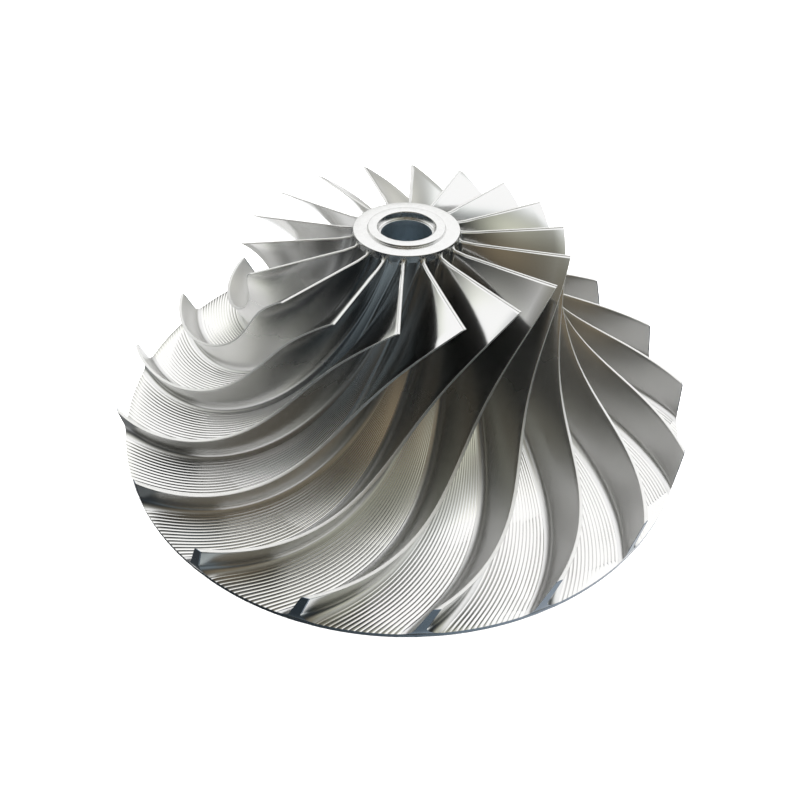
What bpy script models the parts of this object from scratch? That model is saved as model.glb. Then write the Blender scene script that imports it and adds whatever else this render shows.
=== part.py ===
"""Open centrifugal impeller: a turned nose, a flared hub, a back disc and eighteen swept blades.

The wheel stands on its back face with its axis upright. The origin is the centre of the back
face and +Z points to the inlet. Radii and heights are in metres, angles in degrees, and angles
run anticlockwise from +X as seen from the inlet. The real wheel is milled from one forging; here
its nose, hub, hub foot, disc and blades are separate solids with a hair gap between them.
"""

from math import cos, hypot, pi, radians, sin, sqrt

import bmesh
import bpy
import numpy as np

# Driving sizes of the wheel
BLADE_COUNT = 18
TIP_RADIUS = 0.150
RIM_THICKNESS = 0.0019
HUB_SPLIT_STATION = 13
SEAT_GAP = 0.0003
BLADE_LIFT = 0.0004

# Nose and bore
NOSE_RADIUS = 0.0251
NOSE_TOP = 0.1033
NOSE_CHAMFER = 0.0008
RING_RADIUS = 0.0181
RING_HEIGHT = 0.0010
RING_CHAMFER = 0.0003
BORE_RADIUS = 0.0120
MOUTH_RADIUS = 0.0136
MOUTH_DEPTH = 0.0035
FOOT_RADIUS = 0.0300

# Hub and blade-tip outlines in (radius, height), each a cubic Bezier from inlet to outlet
HUB_OUTLINE = ((NOSE_RADIUS, 0.0998), (0.0597, -0.0153), (0.1361, 0.0085), (TIP_RADIUS, RIM_THICKNESS))
TIP_OUTLINE = ((0.0765, 0.0996), (0.0734, 0.0550), (0.0897, 0.0190), (TIP_RADIUS, 0.0205))

# Wrap angle of the first blade along its root and its tip, as Bezier control angles
ROOT_WRAP = (107.5, 81.2, 68.5, 60.8, 50.0, 32.8)
TIP_WRAP = (108.0, 79.6, 69.1, 61.2, 52.7, 35.5)

# Blade thickness, thinner over the first stretch behind the leading edge, and its root fillet
ROOT_THICKNESS = 0.0030
TIP_THICKNESS = 0.0019
EDGE_THINNING = 0.60
EDGE_STRETCH = 0.12
FILLET_RADIUS = 0.0030
NOSE_FILLET_RADIUS = 0.0015
FILLET_STRETCH = 0.30
FILLET_HEIGHTS = (0.0, 0.3, 1.0)

# Fineness of the solids
STATIONS = 20
TURNED_SIDES = 60
CURVE_SAMPLES = 400
SHARP_ANGLE = 35.0
MERGE_DISTANCE = 0.00002


def clear_scene():
    """Remove whatever the open file holds."""
    for item in list(bpy.data.objects):
        bpy.data.objects.remove(item, do_unlink=True)


def metal(name, colour, roughness):
    """A bare-metal material."""
    material = bpy.data.materials.new(name)
    material.use_nodes = True
    shader = material.node_tree.nodes["Principled BSDF"]
    shader.inputs["Base Color"].default_value = (*colour, 1.0)
    shader.inputs["Metallic"].default_value = 1.0
    shader.inputs["Roughness"].default_value = roughness
    material.diffuse_color = (*colour, 1.0)
    return material


def bezier(control, t):
    """The value at t of a Bezier curve with any number of control values."""
    values = [np.array(value, dtype=float) for value in control]
    while len(values) > 1:
        values = [(1 - t) * a + t * b for a, b in zip(values, values[1:])]
    return values[0]


def even_points(outline):
    """Points at equal lengths along an outline, one for each station."""
    fine = np.array([bezier(outline, i / CURVE_SAMPLES) for i in range(CURVE_SAMPLES + 1)])
    steps = np.hypot(*np.diff(fine, axis=0).T)
    length = np.concatenate(([0.0], np.cumsum(steps)))
    wanted = np.linspace(0.0, length[-1], STATIONS + 1)
    return [(float(np.interp(w, length, fine[:, 0])), float(np.interp(w, length, fine[:, 1]))) for w in wanted]


def lifted(points, distance):
    """Points moved off an outline, along its outward normal and never past the tip radius."""
    tangents = np.gradient(np.array(points), axis=0)
    moved = []
    for (radius, height), (along_r, along_z) in zip(points, tangents):
        length = hypot(along_r, along_z)
        radius = min(radius - distance * along_z / length, TIP_RADIUS)
        moved.append((radius, height + distance * along_r / length))
    return moved


def mix(a, b, share):
    """The value a given share of the way from a to b."""
    return a + (b - a) * share


def grown_half_width(station, across, height):
    """Half of a blade's thickness at a station, with its root fillet, at a height above the hub."""
    thinning = mix(EDGE_THINNING, 1.0, min(station / EDGE_STRETCH, 1.0))
    half = 0.5 * thinning * mix(ROOT_THICKNESS, TIP_THICKNESS, across)
    fillet = fillet_radius(station)
    if height < fillet:
        half += fillet - sqrt(fillet ** 2 - (fillet - height) ** 2)
    return half


def fillet_radius(station):
    """Root fillet radius, which grows from the crowded nose to its full size."""
    return mix(NOSE_FILLET_RADIUS, FILLET_RADIUS, min(station / FILLET_STRETCH, 1.0))


def blade_rows():
    """The blade's middle surface: for each station, its rows from the root to the tip.

    A row is (share of the height, height above the hub, radius, height, wrap angle in radians).
    """
    roots = lifted(even_points(HUB_OUTLINE), BLADE_LIFT)
    tips = even_points(TIP_OUTLINE)
    grid = []
    for i, (root, tip) in enumerate(zip(roots, tips)):
        station = i / STATIONS
        span = hypot(tip[0] - root[0], tip[1] - root[1])
        heights = [share * fillet_radius(station) for share in FILLET_HEIGHTS] + [0.5 * span, span]
        root_wrap = radians(bezier(ROOT_WRAP, station))
        tip_wrap = radians(bezier(TIP_WRAP, station))
        rows = []
        for height in heights:
            across = height / span
            rows.append((across, height, mix(root[0], tip[0], across), mix(root[1], tip[1], across),
                         mix(root_wrap, tip_wrap, across)))
        grid.append(rows)
    return grid


def blade_sections():
    """Closed sections across the blade, one for each station: up one flank and down the other."""
    grid = blade_rows()
    sections = []
    for i, rows in enumerate(grid):
        before, after = grid[max(i - 1, 0)], grid[min(i + 1, STATIONS)]
        flanks = ([], [])
        for j, (across, height, radius, level, wrap) in enumerate(rows):
            run = hypot(after[j][2] - before[j][2], after[j][3] - before[j][3])
            turn = radius * (after[j][4] - before[j][4])
            slant = hypot(run, turn) / run
            swing = grown_half_width(i / STATIONS, across, height) * slant / radius
            for flank, side in zip(flanks, (-1, 1)):
                angle = wrap + side * swing
                flank.append((radius * cos(angle), radius * sin(angle), level))
        sections.append(flanks[0] + flanks[1][::-1])
    return sections


def blade_mesh(material):
    """One blade as a loft through its sections, closed at the leading and trailing edges."""
    bm = bmesh.new()
    loops = [[bm.verts.new(point) for point in section] for section in blade_sections()]
    for a, b in zip(loops, loops[1:]):
        for i in range(len(a)):
            bm.faces.new((a[i - 1], a[i], b[i], b[i - 1]))
    for end in (loops[0], loops[-1]):
        for i in range(len(end) // 2 - 1):
            bm.faces.new((end[i], end[i + 1], end[-2 - i], end[-1 - i]))
    bmesh.ops.recalc_face_normals(bm, faces=bm.faces)
    mesh = bpy.data.meshes.new("blade")
    bm.to_mesh(mesh)
    bm.free()
    mesh.materials.append(material)
    mesh.shade_smooth()
    mesh.set_sharp_from_angle(angle=radians(SHARP_ANGLE))
    return mesh


def add_blades(collection, axis, material):
    """Eighteen equal blades round the axis, numbered clockwise as seen from the inlet."""
    mesh = blade_mesh(material)
    for number in range(BLADE_COUNT):
        blade = bpy.data.objects.new(f"blade_{number + 1:02d}", mesh)
        blade.rotation_euler.z = -2 * pi * number / BLADE_COUNT
        blade.parent = axis
        collection.objects.link(blade)


def turned_mesh(name, outline):
    """A mesh turned round Z from a closed outline of (radius, height) that runs down its outer side."""
    count = len(outline)
    profile = bpy.data.meshes.new(f"{name}_profile")
    profile.from_pydata([(radius, 0.0, height) for radius, height in outline],
                        [(i, (i + 1) % count) for i in range(count)], [])
    guide = bpy.data.objects.new(f"{name}_profile", profile)
    bpy.context.scene.collection.objects.link(guide)
    screw = guide.modifiers.new("turn", "SCREW")
    screw.axis = "Z"
    screw.angle = 2 * pi
    screw.steps = TURNED_SIDES
    screw.render_steps = TURNED_SIDES
    screw.use_merge_vertices = True
    screw.merge_threshold = MERGE_DISTANCE
    mesh = bpy.data.meshes.new_from_object(guide.evaluated_get(bpy.context.evaluated_depsgraph_get()))
    mesh.name = name
    bpy.data.objects.remove(guide)
    mesh.shade_smooth()
    mesh.set_sharp_from_angle(angle=radians(SHARP_ANGLE))
    return mesh


def add_turned(name, outline, collection, axis, material):
    """A turned piece on the shaft axis."""
    mesh = turned_mesh(name, outline)
    mesh.materials.clear()
    mesh.materials.append(material)
    piece = bpy.data.objects.new(name, mesh)
    piece.parent = axis
    collection.objects.link(piece)


def nose_outline():
    """The nose collar: chamfered outer edge, raised clamping ring and the stepped mouth of the bore."""
    ring_top = NOSE_TOP + RING_HEIGHT
    ledge = ring_top - MOUTH_DEPTH
    bottom = HUB_OUTLINE[0][1] + SEAT_GAP
    return ((MOUTH_RADIUS + RING_CHAMFER, ring_top), (RING_RADIUS - RING_CHAMFER, ring_top),
            (RING_RADIUS, ring_top - RING_CHAMFER), (RING_RADIUS, NOSE_TOP),
            (NOSE_RADIUS - NOSE_CHAMFER, NOSE_TOP), (NOSE_RADIUS, NOSE_TOP - NOSE_CHAMFER),
            (NOSE_RADIUS, bottom), (BORE_RADIUS, bottom), (BORE_RADIUS, ledge), (MOUTH_RADIUS, ledge),
            (MOUTH_RADIUS, ring_top - RING_CHAMFER))


def hub_outline():
    """The flared hub between the nose and the back disc."""
    side = even_points(HUB_OUTLINE)[:HUB_SPLIT_STATION + 1]
    return ((BORE_RADIUS, side[0][1]), *side, (BORE_RADIUS, side[-1][1]))


def foot_outline():
    """The hub foot: the ring round the bore, under the hub and inside the back disc."""
    top = even_points(HUB_OUTLINE)[HUB_SPLIT_STATION][1] - SEAT_GAP
    return ((BORE_RADIUS, top), (FOOT_RADIUS, top), (FOOT_RADIUS, 0.0), (BORE_RADIUS, 0.0))


def disc_outline():
    """The back disc: it carries the hub and flares out to the thin rim over a flat back."""
    side = even_points(HUB_OUTLINE)[HUB_SPLIT_STATION:]
    top = side[0][1] - SEAT_GAP
    inner = FOOT_RADIUS + SEAT_GAP
    return ((inner, top), (side[0][0], top), *side[1:], (TIP_RADIUS, 0.0), (inner, 0.0))


def build():
    """Make the whole impeller in its own collection."""
    clear_scene()
    collection = bpy.data.collections.new("impeller")
    bpy.context.scene.collection.children.link(collection)
    axis = bpy.data.objects.new("shaft_axis", None)
    collection.objects.link(axis)
    turned = metal("turned_face", (0.86, 0.86, 0.84), 0.28)
    milled = metal("milled_floor", (0.80, 0.80, 0.78), 0.36)
    add_turned("nose", nose_outline(), collection, axis, turned)
    add_turned("hub", hub_outline(), collection, axis, milled)
    add_turned("hub_foot", foot_outline(), collection, axis, turned)
    add_turned("back_disc", disc_outline(), collection, axis, milled)
    add_blades(collection, axis, metal("milled_blade", (0.70, 0.71, 0.72), 0.25))


build()
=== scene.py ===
"""Looks of the open impeller: milled passages with cutter ridges, filleted blades and a turned nose.

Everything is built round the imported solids, in their frame: metres, +Z to the inlet, the origin at
the centre of the back face. Angles run anticlockwise from +X as seen from the inlet.
"""

from math import cos, pi, radians, sin

import bmesh
import bpy
import numpy as np
from mathutils import Matrix, Vector


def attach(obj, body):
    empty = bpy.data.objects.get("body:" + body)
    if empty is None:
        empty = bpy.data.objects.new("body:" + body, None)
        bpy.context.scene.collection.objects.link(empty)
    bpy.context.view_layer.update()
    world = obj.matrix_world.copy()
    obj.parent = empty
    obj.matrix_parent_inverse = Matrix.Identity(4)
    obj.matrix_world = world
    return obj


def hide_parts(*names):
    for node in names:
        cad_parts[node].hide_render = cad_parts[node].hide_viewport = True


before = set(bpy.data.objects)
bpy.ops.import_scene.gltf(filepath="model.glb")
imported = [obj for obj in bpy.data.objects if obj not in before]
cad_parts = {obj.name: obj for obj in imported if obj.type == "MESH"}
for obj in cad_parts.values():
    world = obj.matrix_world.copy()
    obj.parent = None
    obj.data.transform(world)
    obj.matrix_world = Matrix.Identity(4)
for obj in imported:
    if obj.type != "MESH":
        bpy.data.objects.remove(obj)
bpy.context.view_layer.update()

# Driving sizes of the wheel: those of the solids, but for a rim 0.6 mm thicker
BLADE_COUNT = 18
PITCH = 2 * pi / BLADE_COUNT
TIP_RADIUS = 0.150
RIM_THICKNESS = 0.0025
NOSE_RADIUS = 0.0251
NOSE_TOP = 0.1033
RING_RADIUS = 0.0181
RING_HEIGHT = 0.0010
BORE_RADIUS = 0.0120
MOUTH_RADIUS = 0.0136
MOUTH_DEPTH = 0.0035

# Outlines in (radius, height) and wrap angles in degrees, each a Bezier from inlet to outlet
HUB_OUTLINE = ((NOSE_RADIUS, 0.0998), (0.0597, -0.0153), (0.1361, 0.0062), (TIP_RADIUS, RIM_THICKNESS))
TIP_OUTLINE = ((0.0765, 0.0996), (0.0734, 0.0550), (0.0897, 0.0190), (TIP_RADIUS, 0.0205))
ROOT_WRAP = (107.5, 81.2, 68.5, 60.8, 50.0, 32.8)
TIP_WRAP = (108.0, 79.6, 69.1, 61.2, 52.7, 35.5)

# Blade thickness: at the leading edge it is a share of the full one, which the root and the tip
# reach after a stretch of the length
ROOT_THICKNESS = 0.0030
TIP_THICKNESS = 0.0016
EDGE_THINNING = 0.42
ROOT_STRETCH = 0.12
TIP_STRETCH = 0.55
TIP_EDGE_ROUND = 0.00020

# Root fillets, smaller at the nose and full after a stretch of the length
FILLET_RADIUS = 0.0037
NOSE_FILLET_RADIUS = 0.0015
FILLET_STRETCH = 0.30

# The leading edge's fillet into the nose collar: how far up the blade it runs, how far it lifts the
# edge, and the share of the length over which it fades
COLLAR_FILLET_RUN = 0.0038
COLLAR_FILLET_RISE = 0.0025
COLLAR_FILLET_REACH = 0.03

# How deep a blade's foot goes below the floor line, and the share of the way from its middle to
# its fillet's toe over which the floor is sunk as deep
ROOT_SINK = 0.0005
SUNK_SHARE = 0.98

# Roundings and grooves of the nose, the bore and the back, and the hidden ends of their surfaces
MOUTH_ROUND = 0.0006
RING_ROUND = 0.00025
RING_GROOVE = 0.00018
GROOVE_ROUND = 0.0001
COLLAR_ROUND = 0.00035
LEDGE_ROUND = 0.0003
LEDGE_GROOVE = 0.0004
FOOT_ROUND = 0.0006
BACK_CHAMFER = 0.0002
NOSE_BOTTOM = 0.0975
WALL_TOP = 0.0980

# Distances from the axis between which faces belong to the rim and to the wall of the bore, the faces that
# get the painted reflection colours
RIM_BAND = (TIP_RADIUS - 0.00035, TIP_RADIUS + 0.00001)
BORE_BAND = (BORE_RADIUS - 0.0001, BORE_RADIUS + 0.0001)

# A chip in the disc's edge: where it is, half its size along the radius, round and up, and how
# much its lumps and its grain stand out
CHIP_RADIUS = 0.1484
CHIP_ANGLE = -104.6
CHIP_LEVEL = 0.0026
CHIP_SIZE = (0.0008, 0.0032, 0.0004)
CHIP_LUMPS = 0.22
CHIP_GRAIN = 0.14

# Cutter ridges on the passage floors
RIDGES = 14
CUTTER_RADIUS = 0.0018
STEPS_PER_RIDGE = 8

# Rows along the flow: even steps, extra stations behind the leading and before the trailing edge,
# the angles of the rows that round the leading edge off, and the places of the rim's two rows, as
# shares of the length
FLOW_STEPS = 110
EXTRA_STATIONS = (0.004, 0.0055, 0.9978)
NOSE_TURNS = (78, 60, 42, 24, 9, 0)
RIM_PLACES = (1.01, 1.02)

# Fineness of fillets, flanks, tip edges, turned corners and outlines, and how turned pieces close up
ARC_STEPS = 7
FLANK_STEPS = 9
EDGE_STEPS = 3
ROUND_STEPS = 4
CURVE_SAMPLES = 3000
TURNED_SIDES = 240
MERGE_DISTANCE = 0.00002
SHARP_ANGLE = 40.0

# Step up and down the blade that finds which way its leading edge runs
PROBE_STEP = 0.0001

# Colour of each metal and two roughnesses. A milled metal goes from the first to the second from
# inlet to outlet, a turned one from its smoothest to its most handled places
MILLED_FLOOR = ((0.78, 0.777, 0.765), (0.10, 0.07))
MILLED_BLADE = ((0.72, 0.72, 0.715), (0.16, 0.29))
TURNED_FACE = ((0.74, 0.74, 0.735), (0.18, 0.30))
# The bore wall's blue-grey colour is a painted reflection of the dark blue surroundings it mirrors
BORE_PAINTED_BLUE_REFLECTION = ((0.66, 0.74, 0.80), (0.38, 0.42))
# The rim's dark navy colour, also on the blades' end faces at the rim and on the chip, is a painted
# reflection of the dim room
RIM_PAINTED_DARK_REFLECTION = ((0.12, 0.155, 0.20), (0.22, 0.28))
# Leading edges and tips are rougher, and their lighter colour is a painted highlight
EDGE_ROUGH_PAINTED_HIGHLIGHT = ((0.86, 0.86, 0.85), (0.50, 0.56))

# Machining marks: features a metre along and across, and their depths in metres
FLOOR_STREAKS = (60, 2500, 0)
FLANK_STREAKS = (12, 1400, 0)
FLOOR_DEPTH = 0.0000002
FLANK_DEPTH = 0.0000004
TURNING_LINES = 2600
TURNING_DEPTH = 0.000003
MARK_DETAIL = 3.0

# Milled metal changes its roughness over this stretch from the inlet, in metres. Blotches of so
# many a metre shift the change by up to their reach
SATIN_REACH = (0.035, 0.075)
BLOTCHES = (70, 90, 0)
BLOTCH_DETAIL = 2.0
BLOTCH_REACH = 0.02

# Handling marks on turned metal: features a metre, depth as a multiple of the turning lines', and
# the range of their noise over which the roughness changes
HANDLING_MARKS = (320, 320, 320)
HANDLING_DEPTH = 6.0
HANDLING_RANGE = (0.3, 0.7)

# Camera, fitted to the photograph: it looks at the wheel from -Y and above. Its offset is how far
# the centre of the back face lies to the right of the line of sight and above it
CAMERA_ELEVATION = 42.925
CAMERA_ROLL = 1.104
CAMERA_DISTANCE = 0.395012
CAMERA_OFFSET = (0.001610, 0.004861)
FOCAL_PIXELS = 695.519
PHOTO_PIXELS = 800
SENSOR = 36.0
CLIP_START = 0.01

# Floor and wall of the studio, a hair below the wheel
FLOOR_REACH = 3.0
FLOOR_DROP = 0.0002
FLOOR_SIDES = 64
COVE_RADIUS = 1.0
COVE_STEPS = 8
WALL_HEIGHT = 4.5
FLOOR_PAINT = (0.93, 0.93, 0.93)
PAINT_ROUGHNESS = 0.9
PAINT_SHINE = 0.1

# Softbox overhead
SOFTBOX_SIZE = 4.0
SOFTBOX_HEIGHT = 3.0
SOFTBOX_POWER = 300.0

# The room that the metal mirrors, its lights fitted to the photograph. Each is azimuth (0 toward the
# camera, positive to the right), elevation, sharpness and colour. Where they add up past the room's
# white they stay at it.
ROOM_DARK = (0.005, 0.008, 0.012)
ROOM_WHITE = 1.30
ROOM_LIGHTS = (
    # The white surround behind the wheel and on its right
    (170, 46, 13, (4.00, 4.00, 3.90)),
    (127, 50, 16, (3.70, 3.80, 3.97)),
    (117, 22, 20, (3.87, 4.00, 3.91)),
    (154, -9, 20, (0.75, 0.74, 0.68)),
    (-166, 68, 7, (0.74, 0.73, 0.59)),
    # The surround on the left, less bright
    (-122, 29, 20, (1.95, 2.00, 1.82)),
    (-131, 57, 16, (1.54, 1.54, 1.69)),
    (-87, 31, 20, (0.50, 0.50, 0.46)),
    # Light from the white table below
    (-165, -24, 20, (2.22, 2.22, 2.21)),
    (105, -72, 11, (3.65, 4.00, 4.00)),
    (-105, -26, 20, (0.67, 0.68, 0.68)),
    # The dim room in front, warm above and cool below
    (54, 43, 20, (0.75, 0.76, 0.62)),
    (-7, 42, 12, (0.24, 0.19, 0.12)),
    (-16, -16, 15, (0.24, 0.29, 0.32)),
)


def bezier(control, t):
    """Values at each t of a Bezier curve with any number of control values."""
    values = [np.atleast_1d(np.array(value, dtype=float)) for value in control]
    t = np.asarray(t, dtype=float)[..., None]
    while len(values) > 1:
        values = [(1 - t) * a + t * b for a, b in zip(values, values[1:])]
    return np.squeeze(values[0], -1) if values[0].shape[-1] == 1 else values[0]


def fine_outline(outline):
    """Close points along an outline and their distances from its start."""
    points = bezier(outline, np.linspace(0, 1, CURVE_SAMPLES + 1))
    return points, np.concatenate(([0.0], np.cumsum(np.hypot(*np.diff(points, axis=0).T))))


def outline_length(outline):
    """Length of an outline."""
    return fine_outline(outline)[1][-1]


def along(outline, share):
    """Radius and height at shares of an outline's length."""
    points, distance = fine_outline(outline)
    wanted = np.asarray(share) * distance[-1]
    return np.interp(wanted, distance, points[:, 0]), np.interp(wanted, distance, points[:, 1])


def mix(a, b, share):
    """The value a given share of the way from a to b."""
    return a + (b - a) * share


class Wheel:
    """The blade and hub shapes at each station from inlet to outlet."""

    def __init__(self):
        self.station = np.sort(np.concatenate([np.linspace(0, 1, FLOW_STEPS + 1), EXTRA_STATIONS]))
        self.length = outline_length(HUB_OUTLINE)
        self.root_r, self.root_z = along(HUB_OUTLINE, self.station)
        self.tip_r, self.tip_z = along(TIP_OUTLINE, self.station)
        self.root_wrap = np.radians(bezier(ROOT_WRAP, self.station))
        self.tip_wrap = np.radians(bezier(TIP_WRAP, self.station))
        self.span = np.hypot(self.tip_r - self.root_r, self.tip_z - self.root_z)
        self.root_slant = self.slant(self.root_r, self.root_z, self.root_wrap)
        self.root_half = 0.5 * ROOT_THICKNESS * self.growth(EDGE_THINNING, 1.0, ROOT_STRETCH)
        self.tip_half = 0.5 * TIP_THICKNESS * self.growth(EDGE_THINNING, 1.0, TIP_STRETCH)
        self.fillet = self.growth(NOSE_FILLET_RADIUS, FILLET_RADIUS, FILLET_STRETCH)
        self.lean = self.root_r / self.root_slant * (self.tip_wrap - self.root_wrap) / self.span
        self.taper = (self.tip_half - self.root_half) / self.span
        # Floor angle taken by one length across the passage, at the hub
        self.angle_per_length = self.root_slant / self.root_r

    def growth(self, first, full, stretch):
        """A value at each station that goes from its first to its full size over a stretch of the length."""
        return mix(first, full, np.minimum(self.station / stretch, 1.0))

    def slant(self, radius, height, wrap):
        """Circumferential length for one length square to the blade."""
        lines = (radius, height, wrap)
        along_r, along_z, along_wrap = (np.gradient(line, self.station, axis=0) for line in lines)
        run = np.hypot(along_r, along_z)
        return np.hypot(run, radius * along_wrap) / run

    def corner(self, side):
        """Angle between floor and flank, and the fillet's length along each, on one side (+1 or -1)."""
        slope = side * self.lean + self.taper
        angle = np.arctan2(1.0, slope)
        return angle, self.fillet / np.tan(angle / 2)

    def toe(self, side):
        """Distance from the root's centre line to the fillet's toe on the floor, on one side."""
        return self.root_half + self.corner(side)[1]

    def flank(self, side):
        """Offsets from the middle surface and heights for one side of the section, from toe to tip."""
        angle, leg = self.corner(side)
        start = np.stack([self.root_half + leg, 0 * leg], -1)
        corner = np.stack([self.root_half, 0 * leg], -1)
        end = corner + leg[:, None] * np.stack([np.cos(angle), np.sin(angle)], -1)
        weight = np.sin(angle / 2)[:, None]
        offsets, heights = [], []
        for t in np.linspace(0, 1, ARC_STEPS + 1):
            near, middle, far = (1 - t) ** 2, 2 * weight * t * (1 - t), t ** 2
            point = (near * start + middle * corner + far * end) / (near + middle + far)
            offsets.append(point[:, 0] - side * self.lean * point[:, 1])
            heights.append(point[:, 1])
        top = self.span - TIP_EDGE_ROUND
        for share in np.linspace(0, 1, FLANK_STEPS + 1)[1:]:
            height = mix(end[:, 1], top, share)
            heights.append(height)
            offsets.append(self.root_half + self.taper * height)
        for turn in np.linspace(0, pi / 2, EDGE_STEPS + 1)[1:]:
            heights.append(top + TIP_EDGE_ROUND * sin(turn))
            offsets.append(self.tip_half - TIP_EDGE_ROUND * (1 - cos(turn)))
        return side * np.stack(offsets, 1), np.stack(heights, 1)


def middle_surface(wheel, heights):
    """Radius, height and wrap of the blade's middle surface at heights above the hub.

    The leading edge sweeps up into the nose collar through a fillet.
    """
    across = heights / wheel.span[:, None]
    radius = mix(wheel.root_r[:, None], wheel.tip_r[:, None], across)
    level = mix(wheel.root_z[:, None], wheel.tip_z[:, None], across)
    wrap = mix(wheel.root_wrap[:, None], wheel.tip_wrap[:, None], across)
    low = np.clip(1 - heights / COLLAR_FILLET_RUN, 0, 1)
    sweep = COLLAR_FILLET_RISE * (1 - np.sqrt(1 - low ** 2))
    fade = np.clip(1 - wheel.station / COLLAR_FILLET_REACH, 0, 1) ** 2
    return radius, level + sweep * fade[:, None], wrap


def around(radius, level, wrap):
    """Points from radius, height and angle."""
    return np.stack([radius * np.cos(wrap), radius * np.sin(wrap), level], -1)


def blade_points(wheel):
    """One blade's sections from leading to trailing edge, and the place of each point along and up it."""
    left, left_height = wheel.flank(-1)
    right, right_height = wheel.flank(1)
    sink = np.full((len(wheel.station), 1), -ROOT_SINK)
    offset = np.concatenate([left[:, :1], left, right[:, ::-1], right[:, :1]], 1)
    height = np.concatenate([sink, left_height, right_height[:, ::-1], sink], 1)
    radius, level, wrap = middle_surface(wheel, height)
    slant = wheel.slant(radius, level, wrap)
    middle = around(radius, level, wrap)
    sections = around(radius, level, wrap + offset * slant / radius)
    above, below = (around(*middle_surface(wheel, height + step)) for step in (PROBE_STEP, -PROBE_STEP))
    half = wheel.root_half[0] + wheel.taper[0] * height[0]
    caps = leading_edge(sections[0], middle[0], above[0] - below[0], height[0], half)
    sections[0] = caps[-1]
    height = np.concatenate([np.repeat(height[:1], len(caps) - 1, 0), height])
    along_flow = np.concatenate([np.zeros(len(caps) - 1), wheel.station * wheel.length])
    places = np.stack([np.broadcast_to(along_flow[:, None], height.shape), height], -1)
    return np.concatenate([caps[:-1], sections]), places


def leading_edge(section, middle, edge, height, half):
    """Rows of points that round off the blade's start, the last of them its first section, set back.

    The rounding reaches half the blade's thickness forward, and less and less near the collar.
    """
    upstream = np.cross(edge, section[1] - section[-2])
    upstream *= np.sign(upstream[len(upstream) // 2, 2])
    upstream /= np.linalg.norm(upstream, axis=1)[:, None]
    reach = half * np.sqrt(1 - (1 - np.clip(height / COLLAR_FILLET_RUN, 0, 1)) ** 2)
    rows = []
    for turn in np.radians(NOSE_TURNS):
        rows.append(middle + (section - middle) * cos(turn) + upstream * (reach * (sin(turn) - 1))[:, None])
    return np.array(rows)


def floor_points(wheel):
    """One passage floor from one blade's root line to the next, clockwise, and each point's place on it."""
    toe_left = wheel.toe(-1) * wheel.angle_per_length / PITCH
    toe_right = 1 - wheel.toe(1) * wheel.angle_per_length / PITCH
    width = (toe_right - toe_left) * PITCH / wheel.angle_per_length / RIDGES
    depth = width ** 2 / (8 * CUTTER_RADIUS)
    shares, drops = [], []
    for share in (0.0, SUNK_SHARE):
        shares.append(share * toe_left)
        drops.append(np.full_like(toe_left, ROOT_SINK))
    for step in range(RIDGES * STEPS_PER_RIDGE + 1):
        across = step / (RIDGES * STEPS_PER_RIDGE)
        in_ridge = (step % STEPS_PER_RIDGE) / STEPS_PER_RIDGE
        shares.append(mix(toe_left, toe_right, across))
        drops.append(depth * (1 - 4 * (in_ridge - 0.5) ** 2))
    for share in (1 - SUNK_SHARE, 1.0):
        shares.append(mix(toe_right, 1.0, share))
        drops.append(np.full_like(toe_left, ROOT_SINK))
    share, drop = np.stack(shares, 1), np.stack(drops, 1)
    along_r, along_z = (np.gradient(line, wheel.station) for line in (wheel.root_r, wheel.root_z))
    length = np.hypot(along_r, along_z)
    radius = wheel.root_r[:, None] + drop * (along_z / length)[:, None]
    level = wheel.root_z[:, None] - drop * (along_r / length)[:, None]
    radius[-1] = TIP_RADIUS
    wrap = wheel.root_wrap[:, None] - share * PITCH
    rows = [around(radius, level, wrap)]
    for rim_radius, rim_level in ((TIP_RADIUS, BACK_CHAMFER / 2), (TIP_RADIUS - BACK_CHAMFER, 0.0)):
        flat = np.full(wrap.shape[1], rim_level)
        rows.append(around(np.full_like(flat, rim_radius), flat, wrap[-1])[None])
    share = np.concatenate([share, share[-1:], share[-1:]])
    along_flow = np.concatenate([wheel.station, RIM_PLACES]) * wheel.length
    across = share * PITCH * np.concatenate([wheel.root_r, [TIP_RADIUS, TIP_RADIUS]])[:, None]
    return np.concatenate(rows), np.stack([np.broadcast_to(along_flow[:, None], share.shape), across], -1)


def grid_faces(rows, columns, wrap_round):
    """Quads of a grid of points, joined round its columns where asked."""
    index = np.arange(rows * columns).reshape(rows, columns)
    if wrap_round:
        index = np.concatenate([index, index[:, :1]], 1)
    return np.stack([index[:-1, :-1], index[1:, :-1], index[1:, 1:], index[:-1, 1:]], -1).reshape(-1, 4)


def make_mesh(name, points, faces, places, metals, edge_faces=()):
    """A smooth mesh with crisp edges, and with its points' places in metres as its texture coordinates.

    The numbered edge faces get the last metal.
    """
    mesh = bpy.data.meshes.new(name)
    mesh.from_pydata(points.reshape(-1, 3).tolist(), [], faces)
    for number in edge_faces:
        mesh.polygons[number].material_index = len(metals) - 1
    mesh.validate()
    corner_points = np.empty(len(mesh.loops), dtype=np.int32)
    mesh.loops.foreach_get("vertex_index", corner_points)
    layer = mesh.uv_layers.new(name="place")
    layer.uv.foreach_set("vector", places.reshape(-1, 2)[corner_points].astype(np.float32).ravel())
    add_metals(mesh, metals)
    return mesh


def add_metals(mesh, metals):
    """Give a mesh its metals, and shade it smooth with crisp edges."""
    for material in metals:
        mesh.materials.append(material)
    mesh.shade_smooth()
    mesh.set_sharp_from_angle(angle=radians(SHARP_ANGLE))


def give_second_metal(mesh, inner, outer):
    """Give a mesh's faces between two distances from the axis its second metal, whose colour is a painted
    reflection, flat-shaded at the rim.
    """
    for face in mesh.polygons:
        if all(inner < Vector(mesh.vertices[i].co[:2]).length < outer for i in face.vertices):
            face.material_index = 1
            face.use_smooth = outer < TIP_RADIUS


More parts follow.
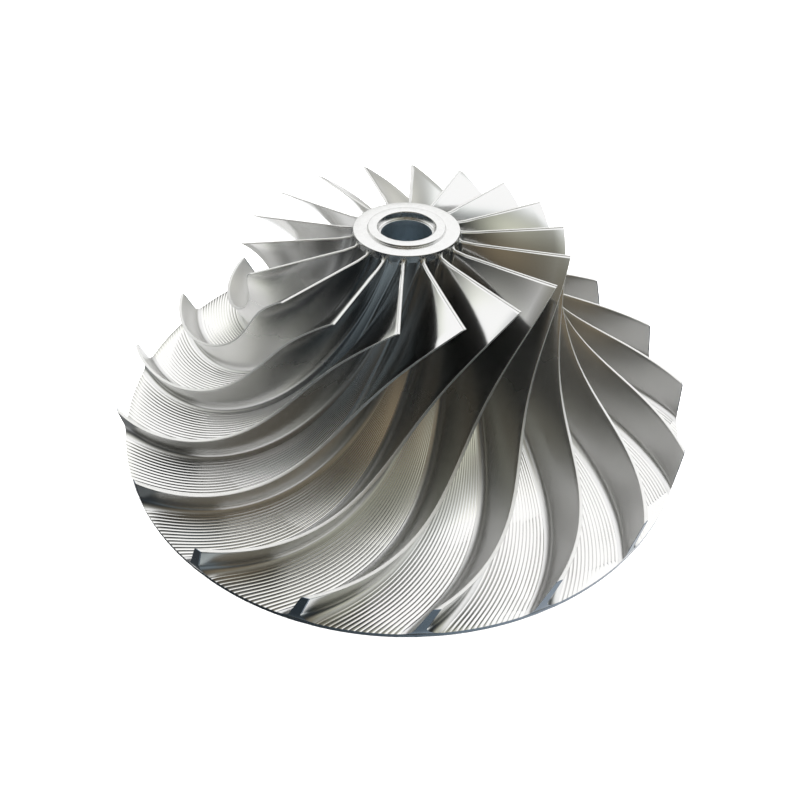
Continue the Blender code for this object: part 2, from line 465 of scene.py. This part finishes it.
def orient_outward(mesh):
    """Point all faces of a mesh outward."""
    bm = bmesh.new()
    bm.from_mesh(mesh)
    bmesh.ops.recalc_face_normals(bm, faces=bm.faces)
    bm.to_mesh(mesh)
    bm.free()


def place(mesh, name, nodes):
    """Put a mesh in the scene as a piece that rides on the wheel and stands for the solids of these nodes."""
    piece = bpy.data.objects.new(name, mesh)
    bpy.context.scene.collection.objects.link(piece)
    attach(piece, "root")
    if nodes:
        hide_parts(*nodes)


def turned_copy(mesh, name, number):
    """A copy of a mesh, a number of blade pitches further round the axis, clockwise."""
    copy = mesh.copy()
    copy.name = name
    copy.transform(Matrix.Rotation(-PITCH * number, 4, "Z"))
    return copy


def add_blades(wheel, metals):
    """Eighteen finished blades, one for each solid one, with the last metal, rougher and lighter as a painted
    highlight, on leading edges and tips.
    """
    points, places = blade_points(wheel)
    stations, columns = points.shape[:2]
    faces = grid_faces(stations, columns, True).tolist()
    last = (stations - 1) * columns
    half = columns // 2
    for start in (0, last):
        for i in range(half - 1):
            faces.append([start + i, start + i + 1, start + columns - 2 - i, start + columns - 1 - i])
    nose_rows = len(NOSE_TURNS) - 1
    # Nose rows and tip faces get the edge metal, whose lighter colour is a painted highlight
    tip_columns = range(half - EDGE_STEPS - 1, half + EDGE_STEPS)
    edge_faces = list(range(nose_rows * columns))
    edge_faces += [row * columns + column for row in range(nose_rows, stations - 1) for column in tip_columns]
    mesh = make_mesh("milled_blade", points, faces, places, metals, edge_faces)
    orient_outward(mesh)
    # End faces at the rim get the rim's painted dark reflection colour
    give_second_metal(mesh, *RIM_BAND)
    for number in range(BLADE_COUNT):
        name = f"blade_{number + 1:02d}"
        place(turned_copy(mesh, f"milled_{name}", number), f"milled_{name}", [name])
    bpy.data.meshes.remove(mesh)


def add_floors(wheel, metals):
    """The eighteen passage floors, which together are the skin of the hub and disc."""
    points, places = floor_points(wheel)
    rows, columns = points.shape[:2]
    mesh = make_mesh("milled_floor", points, grid_faces(rows, columns, False).tolist(), places, metals)
    # The rim faces get the painted dark reflection colour
    give_second_metal(mesh, *RIM_BAND)
    for number in range(BLADE_COUNT):
        name = f"passage_floor_{number + 1:02d}"
        place(turned_copy(mesh, name, number), name, ["hub"] if number == 0 else [])
    bpy.data.meshes.remove(mesh)


def add_chip(material):
    """A rough chip in the disc's edge, beside the foot of one blade, dark with the rim's painted dark
    reflection colour.
    """
    bm = bmesh.new()
    bmesh.ops.create_icosphere(bm, subdivisions=3, radius=1.0)
    for vertex in bm.verts:
        x, y, z = vertex.co
        lumps = CHIP_LUMPS * sin(9 * x + 5 * z) * cos(7 * y - 4 * x)
        grain = CHIP_GRAIN * sin(23 * x - 11 * y)
        vertex.co = Vector((x * CHIP_SIZE[0], y * CHIP_SIZE[1], z * CHIP_SIZE[2])) * (1 + lumps + grain)
    mesh = bpy.data.meshes.new("chip")
    bm.to_mesh(mesh)
    bm.free()
    # The chip's dark colour is the rim's painted dark reflection
    mesh.materials.append(material)
    mesh.transform(Matrix.Translation((CHIP_RADIUS, 0, CHIP_LEVEL)))
    mesh.transform(Matrix.Rotation(radians(CHIP_ANGLE), 4, "Z"))
    place(mesh, "rim_chip", [])


def rounded(corners):
    """An outline of (radius, height) whose corners are rounded: each corner is (radius, height, round)."""
    outline = []
    count = len(corners)
    for i, (x, y, size) in enumerate(corners):
        here = Vector((x, y))
        if not size:
            outline.append(here)
            continue
        before = Vector(corners[i - 1][:2])
        after = Vector(corners[(i + 1) % count][:2])
        start = here + (before - here).normalized() * size
        end = here + (after - here).normalized() * size
        for t in np.linspace(0, 1, ROUND_STEPS + 1):
            outline.append(start * (1 - t) ** 2 + here * 2 * t * (1 - t) + end * t ** 2)
    return outline


def turned_mesh(name, outline, closed, sides):
    """A mesh turned round Z from an outline."""
    count = len(outline)
    edges = [(i, i + 1) for i in range(count - 1)] + ([(count - 1, 0)] if closed else [])
    profile = bpy.data.meshes.new(f"{name}_profile")
    profile.from_pydata([(point[0], 0.0, point[1]) for point in outline], edges, [])
    guide = bpy.data.objects.new(f"{name}_profile", profile)
    bpy.context.scene.collection.objects.link(guide)
    screw = guide.modifiers.new("turn", "SCREW")
    screw.angle = 2 * pi
    screw.steps = sides
    screw.render_steps = sides
    screw.use_merge_vertices = True
    screw.merge_threshold = MERGE_DISTANCE
    mesh = bpy.data.meshes.new_from_object(guide.evaluated_get(bpy.context.evaluated_depsgraph_get()))
    bpy.data.objects.remove(guide)
    bpy.data.meshes.remove(profile)
    mesh.name = name
    mesh.materials.clear()
    return mesh


def add_turned(name, outline, closed, metals, nodes):
    """A turned piece, smooth with crisp edges, facing outward, with the second metal, a painted bluish
    reflection, in the bore.
    """
    mesh = turned_mesh(name, outline, closed, TURNED_SIDES)
    orient_outward(mesh)
    add_metals(mesh, metals)
    give_second_metal(mesh, *BORE_BAND)
    place(mesh, name, nodes)


def add_nose(metals):
    """The nose collar with its raised ring, the fine groove round it and the stepped bore mouth."""
    ring_top = NOSE_TOP + RING_HEIGHT
    groove = NOSE_TOP - RING_GROOVE
    ledge = ring_top - MOUTH_DEPTH
    outline = rounded((
        (MOUTH_RADIUS, ring_top, MOUTH_ROUND), (RING_RADIUS, ring_top, RING_ROUND),
        (RING_RADIUS, groove, GROOVE_ROUND), (RING_RADIUS + RING_GROOVE, groove, 0),
        (RING_RADIUS + 2 * RING_GROOVE, NOSE_TOP, GROOVE_ROUND), (NOSE_RADIUS, NOSE_TOP, COLLAR_ROUND),
        (NOSE_RADIUS, NOSE_BOTTOM, 0), (BORE_RADIUS, NOSE_BOTTOM, 0), (BORE_RADIUS, ledge, LEDGE_ROUND),
        (MOUTH_RADIUS - LEDGE_GROOVE, ledge, 0), (MOUTH_RADIUS, ledge + LEDGE_GROOVE, 0)))
    add_turned("turned_nose", outline, True, metals, ["nose"])


def add_back(metals):
    """The flat back face and the wall of the bore."""
    outline = rounded((
        (TIP_RADIUS - BACK_CHAMFER, 0.0, 0), (BORE_RADIUS, 0.0, FOOT_ROUND), (BORE_RADIUS, WALL_TOP, 0)))
    add_turned("turned_back", outline, False, metals, ["hub_foot", "back_disc"])


def metal(name, colour):
    """Bare aluminium of one colour."""
    material = bpy.data.materials.new(name)
    material.use_nodes = True
    shader = material.node_tree.nodes["Principled BSDF"]
    shader.inputs["Base Color"].default_value = (*colour, 1.0)
    shader.inputs["Metallic"].default_value = 1.0
    return material


def node(tree, kind, operation=None, **values):
    """A new node, with its inputs set to values or joined to other nodes' outputs.

    An input goes by its name, or by its number after an underscore, as in _0.
    """
    made = tree.nodes.new(kind)
    if operation:
        made.operation = operation
    for name, value in values.items():
        key = int(name[1:]) if name[0] == "_" else name
        if isinstance(value, bpy.types.NodeSocket):
            tree.links.new(value, made.inputs[key])
        else:
            made.inputs[key].default_value = value
    return made


def flow_place(tree):
    """The place on a floor or flank: metres along the flow and across it."""
    uv = tree.nodes.new("ShaderNodeUVMap")
    uv.uv_map = "place"
    return uv.outputs["UV"]


def turned_place(tree):
    """The place on a turned surface: metres from the axis and up it."""
    split = node(tree, "ShaderNodeSeparateXYZ", _0=tree.nodes.new("ShaderNodeTexCoord").outputs["Object"])
    flat = node(tree, "ShaderNodeCombineXYZ", X=split.outputs["X"], Y=split.outputs["Y"])
    radius = node(tree, "ShaderNodeVectorMath", "LENGTH", _0=flat.outputs[0])
    return node(tree, "ShaderNodeCombineXYZ", X=radius.outputs["Value"], Y=split.outputs["Z"]).outputs[0]


def stretched_noise(tree, place_on, scale, detail):
    """Noise with so many features a metre along each of the three directions."""
    scaled = node(tree, "ShaderNodeVectorMath", "MULTIPLY", _0=place_on, _1=scale)
    return node(tree, "ShaderNodeTexNoise", Vector=scaled.outputs[0], Scale=1.0, Detail=detail).outputs["Fac"]


def machined(material, marks, mark_depth, spread_by, reach, roughness):
    """Fine cutter marks as a small bump, and a roughness that goes from one value to another over a reach."""
    tree = material.node_tree
    shader = tree.nodes["Principled BSDF"]
    bump = node(tree, "ShaderNodeBump", Height=marks, Strength=1.0, Distance=mark_depth)
    tree.links.new(bump.outputs[0], shader.inputs["Normal"])
    spread = node(tree, "ShaderNodeMapRange",
                  _0=spread_by, _1=reach[0], _2=reach[1], _3=roughness[0], _4=roughness[1])
    tree.links.new(spread.outputs[0], shader.inputs["Roughness"])
    return material


def milled_metal(name, finish, streaks, depth):
    """Milled aluminium with fine streaks along the flow and a roughness that changes in blotches."""
    colour, roughness = finish
    material = metal(name, colour)
    tree = material.node_tree
    place_on = flow_place(tree)
    marks = stretched_noise(tree, place_on, streaks, MARK_DETAIL)
    blotches = stretched_noise(tree, place_on, BLOTCHES, BLOTCH_DETAIL)
    from_inlet = node(tree, "ShaderNodeSeparateXYZ", _0=place_on).outputs["X"]
    uneven = node(tree, "ShaderNodeMath", "MULTIPLY_ADD", _0=blotches, _1=BLOTCH_REACH, _2=from_inlet)
    return machined(material, marks, depth, uneven.outputs[0], SATIN_REACH, roughness)


def turned_metal(name, finish):
    """Turned aluminium with fine rings round the axis and a few handling marks."""
    colour, roughness = finish
    material = metal(name, colour)
    tree = material.node_tree
    rings = stretched_noise(tree, turned_place(tree), (TURNING_LINES, TURNING_LINES, 0), MARK_DETAIL)
    object_place = tree.nodes.new("ShaderNodeTexCoord").outputs["Object"]
    dents = stretched_noise(tree, object_place, HANDLING_MARKS, MARK_DETAIL)
    marks = node(tree, "ShaderNodeMath", "MULTIPLY_ADD", _0=dents, _1=HANDLING_DEPTH, _2=rings)
    return machined(material, marks.outputs[0], TURNING_DEPTH, dents, HANDLING_RANGE, roughness)


def matt(name, colour):
    """Plain matt paint."""
    material = bpy.data.materials.new(name)
    material.use_nodes = True
    shader = material.node_tree.nodes["Principled BSDF"]
    shader.inputs["Base Color"].default_value = (*colour, 1.0)
    shader.inputs["Roughness"].default_value = PAINT_ROUGHNESS
    shader.inputs["Specular IOR Level"].default_value = PAINT_SHINE
    return material


def add_camera():
    """The camera at the photograph's place."""
    tilt, roll = radians(CAMERA_ELEVATION), radians(CAMERA_ROLL)
    right, up = Vector((1, 0, 0)), Vector((0, sin(tilt), cos(tilt)))
    back = Vector((0, -cos(tilt), sin(tilt)))
    x_axis = right * cos(roll) + up * sin(roll)
    y_axis = up * cos(roll) - right * sin(roll)
    camera = bpy.data.objects.new("camera", bpy.data.cameras.new("camera"))
    bpy.context.scene.collection.objects.link(camera)
    turn = Matrix((x_axis, y_axis, back)).transposed().to_4x4()
    place_at = back * CAMERA_DISTANCE - x_axis * CAMERA_OFFSET[0] - y_axis * CAMERA_OFFSET[1]
    camera.matrix_world = Matrix.Translation(place_at) @ turn
    camera.data.sensor_width = SENSOR
    camera.data.lens = FOCAL_PIXELS / PHOTO_PIXELS * SENSOR
    camera.data.clip_start = CLIP_START
    bpy.context.scene.camera = camera


def add_floor():
    """A plain pale floor that turns up into a wall far from the wheel, unseen in the metal."""
    steps = np.linspace(0, pi / 2, COVE_STEPS + 1)
    cove = [(FLOOR_REACH + COVE_RADIUS * sin(turn), COVE_RADIUS * (1 - cos(turn))) for turn in steps]
    outline = [(0.0, 0.0)] + cove + [(FLOOR_REACH + COVE_RADIUS, WALL_HEIGHT)]
    outline = [Vector((radius, height - FLOOR_DROP)) for radius, height in outline]
    mesh = turned_mesh("floor", outline, False, FLOOR_SIDES)
    mesh.materials.append(matt("floor_paint", FLOOR_PAINT))
    floor = bpy.data.objects.new("floor", mesh)
    bpy.context.scene.collection.objects.link(floor)
    floor.visible_glossy = False
    floor.visible_shadow = False
    floor.visible_diffuse = False


def add_room():
    """The soft room round the wheel."""
    world = bpy.data.worlds.new("studio")
    world.use_nodes = True
    tree = world.node_tree
    tree.nodes.clear()
    around_us = tree.nodes.new("ShaderNodeTexCoord").outputs["Generated"]
    direction = node(tree, "ShaderNodeVectorMath", "NORMALIZE", _0=around_us).outputs[0]
    total = node(tree, "ShaderNodeCombineXYZ", X=ROOM_DARK[0], Y=ROOM_DARK[1], Z=ROOM_DARK[2])
    for azimuth, elevation, sharpness, colour in ROOM_LIGHTS:
        bearing, rise = radians(azimuth), radians(elevation)
        toward = (sin(bearing) * cos(rise), -cos(bearing) * cos(rise), sin(rise))
        facing = node(tree, "ShaderNodeVectorMath", "DOT_PRODUCT", _0=direction, _1=toward)
        falloff = node(tree, "ShaderNodeMath", "MULTIPLY_ADD",
                       _0=facing.outputs["Value"], _1=sharpness, _2=-sharpness)
        glow = node(tree, "ShaderNodeMath", "EXPONENT", _0=falloff.outputs[0])
        total = node(tree, "ShaderNodeVectorMath", "MULTIPLY_ADD",
                     _0=glow.outputs[0], _1=colour, _2=total.outputs[0])
    capped = node(tree, "ShaderNodeVectorMath", "MINIMUM", _0=total.outputs[0], _1=(ROOM_WHITE,) * 3)
    room = node(tree, "ShaderNodeBackground", Color=capped.outputs[0])
    node(tree, "ShaderNodeOutputWorld", Surface=room.outputs[0])
    bpy.context.scene.world = world


def add_softbox():
    """A softbox overhead that is never mirrored in the metal."""
    softbox = bpy.data.objects.new("overhead", bpy.data.lights.new("overhead", "AREA"))
    bpy.context.scene.collection.objects.link(softbox)
    softbox.data.shape = "DISK"
    softbox.data.size = SOFTBOX_SIZE
    softbox.data.energy = SOFTBOX_POWER
    softbox.location = (0, 0, SOFTBOX_HEIGHT)
    softbox.visible_glossy = False


def main():
    """Build the dressed wheel and its studio."""
    wheel = Wheel()
    floor_metal = milled_metal("milled_floor_metal", MILLED_FLOOR, FLOOR_STREAKS, FLOOR_DEPTH)
    blade_metal = milled_metal("milled_blade_metal", MILLED_BLADE, FLANK_STREAKS, FLANK_DEPTH)
    nose_metal = turned_metal("turned_metal", TURNED_FACE)
    # Painted bluish reflection for the wall of the bore
    bore_painted_blue_reflection = turned_metal("bore_painted_blue_reflection", BORE_PAINTED_BLUE_REFLECTION)
    # Painted dark reflection for the rim, the blades' end faces and the chip
    rim_painted_dark_reflection = turned_metal("rim_painted_dark_reflection", RIM_PAINTED_DARK_REFLECTION)
    # Rougher edge metal whose lighter colour is a painted highlight
    edge_rough_painted_highlight = turned_metal("edge_rough_painted_highlight", EDGE_ROUGH_PAINTED_HIGHLIGHT)
    add_floors(wheel, (floor_metal, rim_painted_dark_reflection))
    add_blades(wheel, (blade_metal, rim_painted_dark_reflection, edge_rough_painted_highlight))
    add_chip(rim_painted_dark_reflection)
    add_nose((nose_metal, bore_painted_blue_reflection))
    add_back((nose_metal, bore_painted_blue_reflection))
    add_camera()
    add_floor()
    add_room()
    add_softbox()
    bpy.context.scene.view_settings.view_transform = "Standard"


main()
